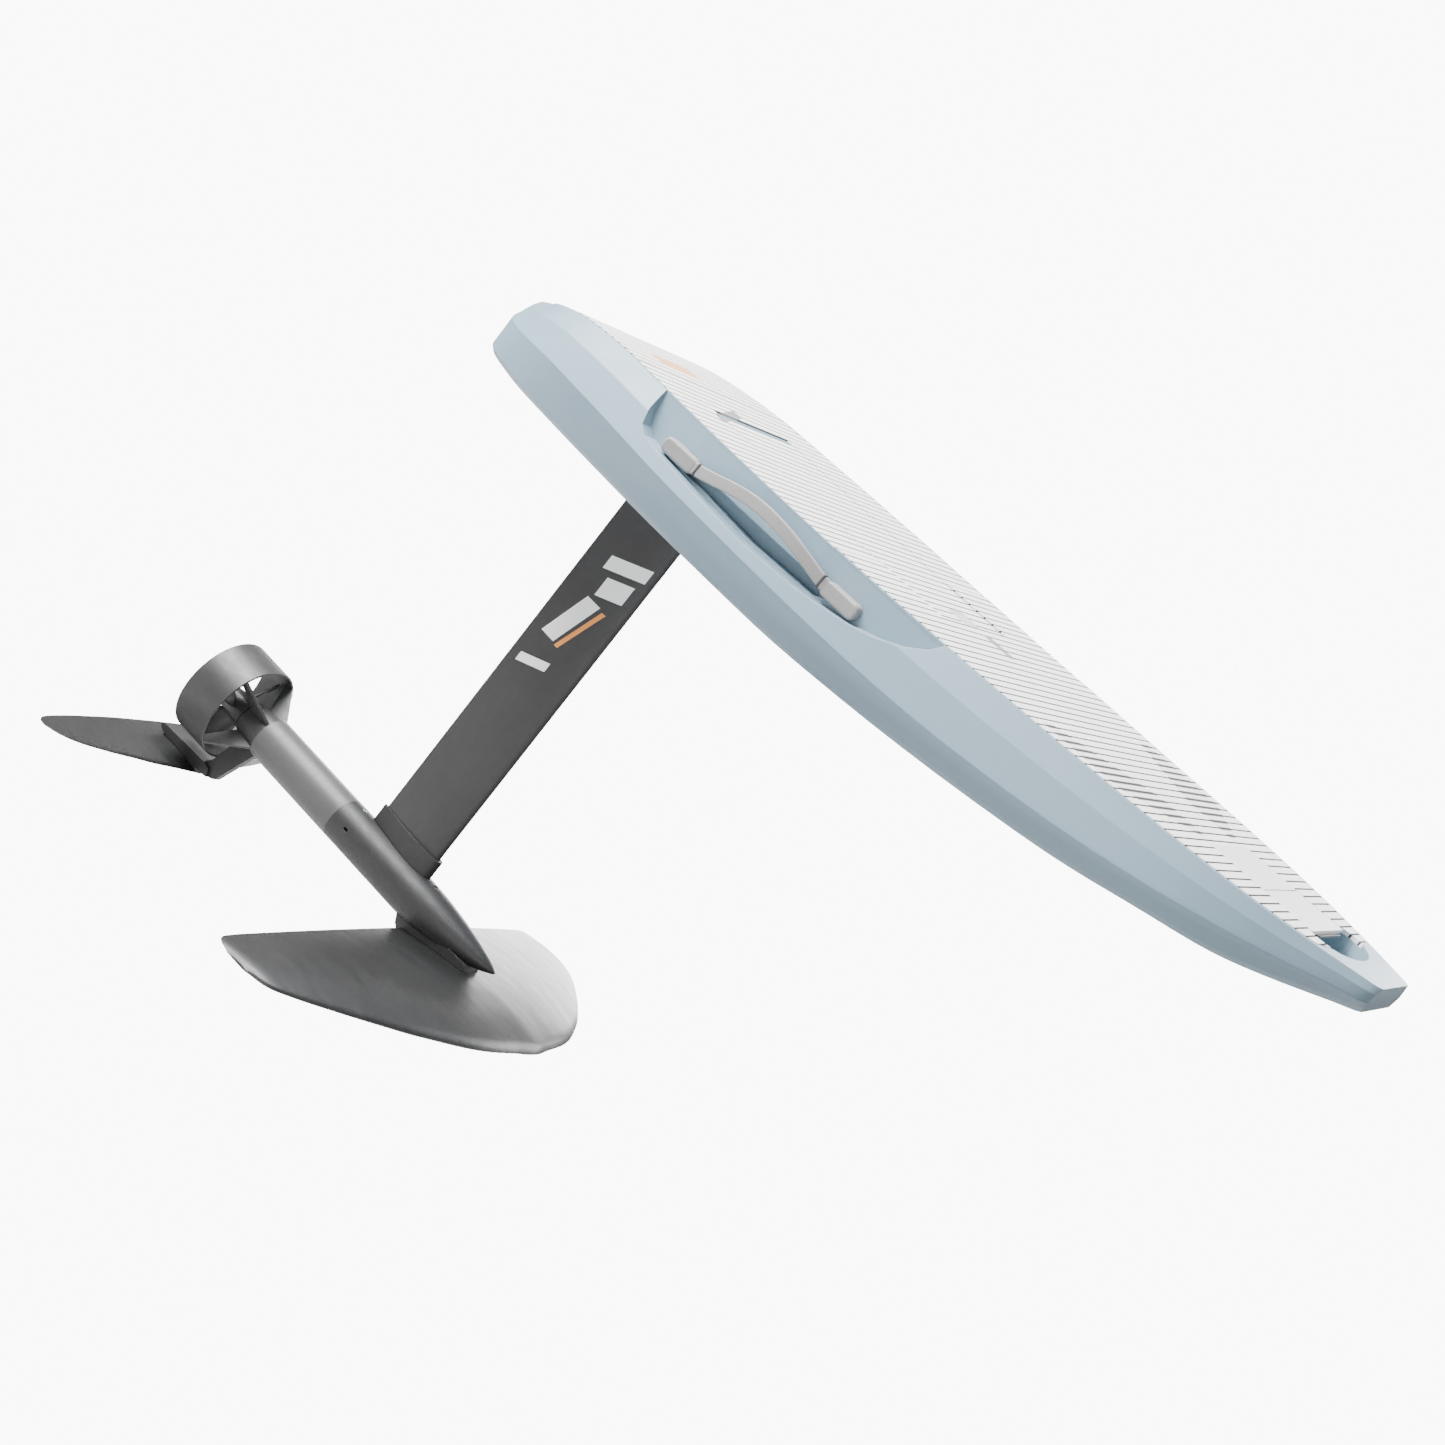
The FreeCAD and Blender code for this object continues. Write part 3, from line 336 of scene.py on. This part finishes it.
class FOIL_OT_pads(bpy.types.Operator):
    """White grooved foam on the deck and the hatch, with its grey line work"""
    bl_idname = "foil.pads"
    bl_label = "Deck pads"

    def execute(self, context):
        board = context.scene.foil_board
        foam = Finish("eva_foam", roughness=0.85, specular=0.25, sheen=0.15)
        x, y, _ = foam.axes()
        across = foam.math("ABSOLUTE", y)
        cells = foam.node("ShaderNodeTexVoronoi", ("Vector", foam.place), ("Scale", 1400.0)).outputs[0]
        cloud = foam.noise(9.0, 4.0, 0.55)
        grime = foam.noise(34.0, 6.0, 0.7)
        white = foam.mix(foam.ramp(cloud, 0.3, 0.7), rgba(board.foam, 0.97), rgba(board.foam, 1.02))
        white = foam.mix(foam.math("MULTIPLY", foam.ramp(grime, 0.6, 0.8), 0.06), white,
                         rgba(board.groove, 2.0))
        step = foam.math("ABSOLUTE", foam.math("SUBTRACT", foam.math(
            "FRACT", foam.math("DIVIDE", x, board.groove_pitch)), 0.5))
        half = 0.5 * board.groove_wide / board.groove_pitch
        inner = foam.math("MAXIMUM", 0.07, foam.math("MULTIPLY_ADD", x, -0.95, 0.905))
        outer = foam.math("MINIMUM", 0.243, foam.math("MULTIPLY_ADD", x, -1.7, 1.725))
        band = foam.math("MULTIPLY", foam.math("GREATER_THAN", across, inner),
                         foam.math("LESS_THAN", across, outer))
        band = foam.math("MULTIPLY", band, foam.between(x, BAND_FROM, BAND_TO))
        width = foam.math("MULTIPLY_ADD", band, half * 0.9, half)
        cross = foam.math("LESS_THAN", step, width)
        fine = foam.math("ABSOLUTE", foam.math("SUBTRACT", foam.math(
            "FRACT", foam.math("DIVIDE", y, FINE_PITCH)), 0.5))
        fine = foam.math("MULTIPLY", foam.math("LESS_THAN", fine, 0.07), band)
        inked = foam.mix(foam.math("MULTIPLY", fine, 0.8), white, rgba(board.groove, 1.6))
        grooved = foam.mix(cross, inked, rgba(board.groove))
        slanted = foam.math("MULTIPLY_ADD", y, 0.35, x)
        patch = foam.math("MULTIPLY", foam.between(slanted, -0.012, 0.008), foam.between(y, -0.150, -0.012))
        panel = foam.mix(patch, grooved, rgba(board.emblem))
        bar = foam.math("MULTIPLY", foam.between(x, -0.122, -0.086), foam.between(y, -0.125, 0.0))
        tint = foam.mix(foam.math("MULTIPLY", bar, 0.75), panel, rgba(board.accent))
        mark = foam.math("MULTIPLY", foam.between(x, 0.518, 0.572), foam.between(y, -0.012, 0.016))
        foam.colour(foam.mix(mark, tint, rgba(board.emblem)))
        foam.relief([(cells, 0.25, 0.0002), (grime, 0.1, 0.0005)], 0.0006)
        paint(foam, "deck_pad", "hatch_pad")
        return {"FINISHED"}


class FOIL_OT_nose(bpy.types.Operator):
    """White smooth strip, flap, dark lever and grey latch paddle"""
    bl_idname = "foil.nose"
    bl_label = "Nose fittings"

    def execute(self, context):
        board = context.scene.foil_board
        white = moulded("white_plastic", board.foam, 0.3, 0.42, 500.0, 0.02, 0.00005, 0.0012, specular=0.5)
        paint(white, "nose_plate", "nose_flap")
        lever = moulded("dark_lever", (0.05, 0.052, 0.055), 0.4, 0.55, 700.0, 0.12, edge=0.0012)
        paint(lever, "nose_flap_lever")
        grey = moulded("grey_paddle", (0.6, 0.6, 0.6), 0.4, 0.5, 600.0, 0.06, edge=0.001)
        paint(grey, "hatch_latch_paddle")
        return {"FINISHED"}


class FOIL_OT_handles(bpy.types.Operator):
    """Rounded rubber straps in their caps along both rails"""
    bl_idname = "foil.handles"
    bl_label = "Side handles"

    def execute(self, context):
        board = context.scene.foil_board
        rubber = Finish("strap_rubber", roughness=0.55, specular=0.4)
        cloud = rubber.noise(16.0, 4.0, 0.6)
        grain = rubber.noise(1200.0, 2.0, 0.6)
        rub = rubber.noise(60.0, 6.0, 0.7, (0.5, 2.0, 2.0))
        base = rubber.mix(rubber.ramp(cloud, 0.3, 0.7), rgba(board.strap, 0.93), rgba(board.strap, 1.06))
        rubber.colour(rubber.mix(rubber.math("MULTIPLY", rubber.ramp(rub, 0.6, 0.8), 0.3), base,
                                 rgba(board.strap, 1.3)))
        rubber.roughness(rub, 0.45, 0.62)
        rubber.relief([(grain, 0.3, 0.0001), (rub, 0.1, 0.0004)], 0.0012)
        paint(rubber, "handle_caps_port", "handle_caps_starboard")
        dark = moulded("band_rubber", (0.05, 0.05, 0.052), 0.5, 0.65, 900.0, 0.15, edge=0.0006)
        for side, name in ((1.0, "port"), (-1.0, "starboard")):
            node = "handle_strap_" + name
            low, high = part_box(node)
            strap = self.strap(side, low, high, board.strap_wide, board.strap_thick)
            finish_piece(strap, "grip_strap_" + name, "board", rubber)
            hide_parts(node)
            inside = low.y if side > 0 else -high.y
            for end, x, out, z, lean in STRAP_BANDS:
                spot = Vector((x, side * (inside + out), z))
                band = self.band(spot, side * lean, board.strap_wide, board.strap_thick)
                finish_piece(band, "strap_band_%s_%s" % (end, name), "board", dark)
        return {"FINISHED"}

    def band(self, place, lean, wide, thick):
        """Dark rubber band where the strap enters its cap: a short sleeve with rounded edges."""
        clear_selection()
        bpy.ops.mesh.primitive_cube_add(size=1.0, location=place, rotation=(0.0, 0.0, lean))
        piece = bpy.context.object
        piece.scale = (0.004, thick * 1.22, wide * 1.08)
        bpy.ops.object.transform_apply(location=True, rotation=True, scale=True)
        bpy.ops.object.mode_set(mode="EDIT")
        select_faces(piece, lambda c, n: abs(n.x) > 0.9)
        bpy.ops.mesh.inset(thickness=0.0012)
        bpy.ops.object.mode_set(mode="OBJECT")
        bevel = piece.modifiers.new("round", "BEVEL")
        bevel.width = thick * 0.3
        bevel.segments = 3
        bevel.limit_method = "ANGLE"
        bevel.angle_limit = math.radians(50)
        apply_all(piece)
        tidy(piece)
        return piece

    def strap(self, side, low, high, wide, thick):
        """One strap: a bar drawn out along the rail, arched clear of the hull, then rounded."""
        inside = low.y if side > 0 else -high.y
        rear = (low.x, *STRAP_REAR)
        front_end = (high.x - 0.001, *STRAP_FRONT)
        path = [Vector((x, side * (inside + out), z)) for x, out, z in (rear, *STRAP_PATH, front_end)]
        clear_selection()
        bpy.ops.mesh.primitive_cube_add(size=1.0, location=path[0])
        piece = bpy.context.object
        piece.scale = (0.002, thick, wide)
        bpy.ops.object.transform_apply(location=True, rotation=True, scale=True)
        bpy.ops.object.mode_set(mode="EDIT")
        for before, after in zip(path, path[1:]):
            front = max(v.co.x for v in piece.data.vertices)
            select_faces(piece, lambda c, n: n.x > 0.9 and c.x > front - 0.0005)
            bpy.ops.mesh.extrude_region_move(TRANSFORM_OT_translate={"value": after - before})
            bpy.ops.object.mode_set(mode="OBJECT")
            bpy.ops.object.mode_set(mode="EDIT")
        bpy.ops.object.mode_set(mode="OBJECT")
        bevel = piece.modifiers.new("round", "BEVEL")
        bevel.width = thick * 0.42
        bevel.segments = 3
        bevel.limit_method = "ANGLE"
        bevel.angle_limit = math.radians(50)
        soft = piece.modifiers.new("soft", "SUBSURF")
        soft.levels = 2
        soft.render_levels = 2
        apply_all(piece)
        tidy(piece)
        return piece


# ---------------------------------------------------------------- mast and pod
class FOIL_OT_mast(bpy.types.Operator):
    """Dark coated mast with plain printed stripes on both sides"""
    bl_idname = "foil.mast"
    bl_label = "Mast finish"

    def execute(self, context):
        foil = context.scene.foil_foil
        board = context.scene.foil_board
        mast = Finish("mast_coat", roughness=0.5, specular=0.4)
        x, _, z = mast.axes()
        cloud = mast.noise(5.0, 4.0, 0.5)
        brushed = mast.noise(300.0, 3.0, 0.6, (1.0, 1.0, 0.04))
        scuff = mast.noise(30.0, 7.0, 0.7, (2.0, 1.0, 0.5))
        base = mast.mix(mast.ramp(cloud, 0.3, 0.7), rgba(foil.mast, 0.9), rgba(foil.mast, 1.12))
        base = mast.mix(mast.math("MULTIPLY", mast.ramp(scuff, 0.62, 0.8), 0.4), base, rgba(foil.mast, 1.6))
        along = mast.math("MULTIPLY_ADD", x, -0.36, z)
        white = None
        for bottom, top, aft, forward in MAST_STRIPES:
            stripe = mast.math("MULTIPLY", mast.between(along, bottom, top), mast.between(x, aft, forward))
            white = stripe if white is None else mast.math("MAXIMUM", white, stripe)
        block = mast.math("MULTIPLY", mast.between(z, -0.452, -0.362), mast.between(
            mast.math("MULTIPLY_ADD", z, -0.33, x), 0.108, 0.138))
        white = mast.math("MAXIMUM", white, block)
        bar = mast.math("MULTIPLY", mast.between(z, -0.455, -0.365), mast.between(
            mast.math("MULTIPLY_ADD", z, -0.36, x), 0.1575, 0.1655))
        printed = mast.mix(white, base, rgba(foil.print_white))
        printed = mast.mix(bar, printed, rgba(board.accent))
        mast.colour(printed)
        mast.roughness(scuff, 0.42, 0.58)
        mast.relief([(brushed, 0.12, 0.0001), (mast.math("ADD", white, bar), 0.3, 0.0001)], 0.0008)
        paint(mast, "mast")
        return {"FINISHED"}


class FOIL_OT_body(bpy.types.Operator):
    """Coated front body, collar and wing mount"""
    bl_idname = "foil.body"
    bl_label = "Front body"

    def execute(self, context):
        foil = context.scene.foil_foil
        coat = moulded("body_coat", foil.body, 0.42, 0.56, 1100.0, 0.12, 0.00008, 0.0012, specular=0.45)
        paint(coat, "mast_collar", "fuselage_body", "wing_mount_rear", "wing_mount_wedge",
              "mast_head_plate", "tail_bracket")
        return {"FINISHED"}


class FOIL_OT_motor(bpy.types.Operator):
    """Bead-blasted motor tube"""
    bl_idname = "foil.motor"
    bl_label = "Motor housing"

    def execute(self, context):
        foil = context.scene.foil_foil
        shell = Finish("motor_anodising", roughness=0.55, metallic=0.1, specular=0.4)
        cloud = shell.noise(8.0, 4.0, 0.5)
        turned = shell.noise(520.0, 3.0, 0.6, (1.0, 0.03, 0.03))
        blast = shell.noise(1500.0, 2.0, 0.6)
        base = shell.mix(shell.ramp(cloud, 0.3, 0.7), rgba(foil.motor, 0.92), rgba(foil.motor, 1.08))
        shell.colour(shell.mix(shell.math("MULTIPLY", turned, 0.25), base, rgba(foil.motor, 1.3)))
        shell.roughness(turned, 0.38, 0.52)
        shell.relief([(turned, 0.10, 0.0001), (blast, 0.2, 0.00006)], 0.0008)
        paint(shell, "motor_housing")
        return {"FINISHED"}


class FOIL_OT_duct(bpy.types.Operator):
    """Moulded duct, stays, propeller and nut"""
    bl_idname = "foil.duct"
    bl_label = "Duct and propeller"

    def execute(self, context):
        foil = context.scene.foil_foil
        resin = moulded("duct_moulding", foil.duct, 0.36, 0.5, 800.0, 0.14, 0.00012, 0.001, specular=0.5)
        paint(resin, "duct_with_stays")
        blade = moulded("propeller_moulding", foil.duct, 0.3, 0.42, 700.0, 0.12, 0.0001, 0.0006,
                        specular=0.5)
        paint(blade, "propeller", "propeller_nut")
        return {"FINISHED"}


class FOIL_OT_wings(bpy.types.Operator):
    """Satin composite on the front wing, the stabiliser and its shim"""
    bl_idname = "foil.wings"
    bl_label = "Wings"

    def execute(self, context):
        foil = context.scene.foil_foil
        skin = Finish("wing_composite", roughness=0.46, specular=0.6, coat=0.1)
        cloud = skin.noise(6.0, 5.0, 0.55)
        fibre = skin.noise(420.0, 3.0, 0.6, (0.15, 1.0, 1.0))
        scuff = skin.noise(26.0, 7.0, 0.7, (0.5, 2.0, 1.0))
        base = skin.mix(skin.ramp(cloud, 0.3, 0.7), rgba(foil.wing, 0.88), rgba(foil.wing, 1.14))
        base = skin.mix(skin.math("MULTIPLY", skin.ramp(fibre, 0.45, 0.75), 0.08), base,
                        rgba(foil.wing, 1.5))
        skin.colour(skin.mix(skin.math("MULTIPLY", skin.ramp(scuff, 0.64, 0.8), 0.25), base,
                             rgba(foil.wing, 1.8)))
        skin.roughness(scuff, 0.38, 0.50)
        skin.relief([(fibre, 0.08, 0.0001), (cloud, 0.04, 0.001)], 0.0008)
        paint(skin, "front_wing", "stabiliser")
        shim = moulded("shim_moulding", foil.duct, 0.4, 0.55, 700.0, 0.1, edge=0.0006)
        paint(shim, "stabiliser_shim")
        return {"FINISHED"}


class FOIL_OT_hardware(bpy.types.Operator):
    """Screws, pins, bearings, seals and the parts inside"""
    bl_idname = "foil.hardware"
    bl_label = "Hardware and inner parts"

    def execute(self, context):
        steel = moulded("stainless", (0.52, 0.52, 0.53), 0.25, 0.4, 600.0, 0.08, 0.00005, 0.0004,
                        metallic=1.0)
        paint(steel, "hatch_hinge_pins", "latch_paddle_pin", "nose_flap_pin", "mast_head_screws",
              "fuselage_screws", "wing_bolts", "tail_bracket_screw", "stabiliser_screws",
              "front_bearing", "rear_bearing", "propeller_shaft")
        seal = moulded("seal_rubber", (0.03, 0.03, 0.032), 0.6, 0.8, 900.0, 0.2, 0.0001, 0.0005)
        paint(seal, "hatch_seal", "upper_lead_grommet", "lower_lead_grommet", "shaft_seal", "power_leads")
        case = moulded("battery_case", (0.055, 0.055, 0.06), 0.4, 0.6, 400.0, 0.15, 0.0003, 0.0015)
        paint(case, "battery_pack", "motor_controller")
        iron = moulded("stator_iron", (0.16, 0.15, 0.15), 0.4, 0.6, 500.0, 0.2, 0.0001, 0.0004,
                       metallic=0.8)
        paint(iron, "stator", "rotor")
        cap = moulded("motor_caps", (0.09, 0.09, 0.092), 0.35, 0.5, 600.0, 0.1, 0.0001, 0.0006,
                      metallic=0.4)
        paint(cap, "motor_front_cap", "motor_rear_cap")
        return {"FINISHED"}


# ---------------------------------------------------------------- stage
class FOIL_OT_stage(bpy.types.Operator):
    """Pale floor, soft lights, sky and the camera"""
    bl_idname = "foil.stage"
    bl_label = "Stage"

    def execute(self, context):
        stage = context.scene.foil_stage
        low = CAD_BOX[0][2]
        clear_selection()
        bpy.ops.mesh.primitive_plane_add(size=stage.floor_size, location=(0.4, 0.0, low - stage.floor_drop))
        floor = context.object
        floor.name = "studio_floor"
        bpy.ops.object.transform_apply(location=True, rotation=True, scale=True)
        paper = Finish("studio_paper", roughness=0.9, specular=0.1)
        tone = paper.noise(2.0, 3.0, 0.5)
        paper.colour(paper.mix(tone, (0.50, 0.50, 0.50, 1.0), (0.53, 0.53, 0.53, 1.0)))
        glow = paper.node("ShaderNodeEmission", ("Color", (1.0, 1.0, 1.0, 1.0)), ("Strength", stage.backdrop))
        seen = paper.node("ShaderNodeLightPath").outputs["Is Camera Ray"]
        lit = paper.node("ShaderNodeMixShader", (0, seen), (1, paper.shader.outputs[0]),
                         (2, glow.outputs[0]))
        clear = paper.node("ShaderNodeBsdfTransparent")
        under = paper.node("ShaderNodeNewGeometry").outputs["Backfacing"]
        sided = paper.node("ShaderNodeMixShader", (0, under), (1, lit.outputs[0]), (2, clear.outputs[0]))
        paper.links.new(sided.outputs[0], paper.nodes["Material Output"].inputs["Surface"])
        floor.data.materials.append(paper.material)
        self.light("key", (-2.2, -1.0, 3.2), (0.3, 0.0, -0.1), 3.0, stage.key)
        self.light("fill", (1.0, -4.6, -0.6), (0.3, 0.0, -0.4), 3.2, stage.fill)
        self.light("rim", (1.6, 3.4, 1.6), (0.2, 0.0, -0.6), 2.4, stage.rim)
        self.light("card", (-1.0, 3.0, -0.8), (0.15, 0.3, -0.98), 1.6, stage.card)
        self.sky(context)
        self.camera(context)
        return {"FINISHED"}

    def light(self, name, place, aim, size, power):
        lamp = bpy.data.lights.new(name, "AREA")
        lamp.energy = power
        lamp.size = size
        holder = bpy.data.objects.new(name, lamp)
        holder.location = place
        turn = (Vector(aim) - Vector(place)).to_track_quat("-Z", "Y")
        holder.rotation_euler = turn.to_euler()
        holder.visible_camera = False
        bpy.context.scene.collection.objects.link(holder)

    def sky(self, context):
        world = bpy.data.worlds.new("studio_sky")
        context.scene.world = world
        world.use_nodes = True
        nodes, links = world.node_tree.nodes, world.node_tree.links
        soft = nodes["Background"]
        soft.inputs[0].default_value = (1.0, 1.0, 1.0, 1.0)
        soft.inputs[1].default_value = 0.45
        bright = nodes.new("ShaderNodeBackground")
        bright.inputs[0].default_value = (1.0, 1.0, 1.0, 1.0)
        bright.inputs[1].default_value = context.scene.foil_stage.backdrop
        seen = nodes.new("ShaderNodeLightPath")
        blend = nodes.new("ShaderNodeMixShader")
        links.new(seen.outputs["Is Camera Ray"], blend.inputs[0])
        links.new(soft.outputs[0], blend.inputs[1])
        links.new(bright.outputs[0], blend.inputs[2])
        links.new(blend.outputs[0], nodes["World Output"].inputs["Surface"])

    def camera(self, context):
        data = bpy.data.cameras.new("camera")
        data.lens = CAMERA_LENS
        data.sensor_width = 36.0
        data.clip_end = 200.0
        camera = bpy.data.objects.new("camera", data)
        camera.location = CAMERA_PLACE
        camera.rotation_euler = CAMERA_TURN
        context.scene.collection.objects.link(camera)
        context.scene.camera = camera


STEPS = (FOIL_OT_stage, FOIL_OT_hull, FOIL_OT_pads, FOIL_OT_nose, FOIL_OT_handles, FOIL_OT_mast,
         FOIL_OT_body, FOIL_OT_motor, FOIL_OT_duct, FOIL_OT_wings, FOIL_OT_hardware)
GROUPS = (("foil_board", FOIL_PG_board), ("foil_foil", FOIL_PG_foil), ("foil_stage", FOIL_PG_stage))


class FOIL_PT_panel(bpy.types.Panel):
    """Lists the board's settings and building steps"""
    bl_idname = "FOIL_PT_panel"
    bl_label = "Foil Board"
    bl_space_type = "VIEW_3D"
    bl_region_type = "UI"
    bl_category = "Foil Board"

    def draw(self, context):
        layout = self.layout
        for name, group in GROUPS:
            box = layout.box()
            for key in group.__annotations__:
                box.prop(getattr(context.scene, name), key)
        column = layout.column(align=True)
        for step in STEPS:
            column.operator(step.bl_idname)


CLASSES = (FOIL_PG_board, FOIL_PG_foil, FOIL_PG_stage) + STEPS + (FOIL_PT_panel,)


def register():
    for item in CLASSES:
        bpy.utils.register_class(item)
    for name, group in GROUPS:
        setattr(bpy.types.Scene, name, bpy.props.PointerProperty(type=group))


def unregister():
    for name, group in GROUPS:
        delattr(bpy.types.Scene, name)
    for item in reversed(CLASSES):
        bpy.utils.unregister_class(item)


def main():
    register()
    for step in STEPS:
        section, call = step.bl_idname.split(".")
        getattr(getattr(bpy.ops, section), call)()


if __name__ == "__main__":
    main()
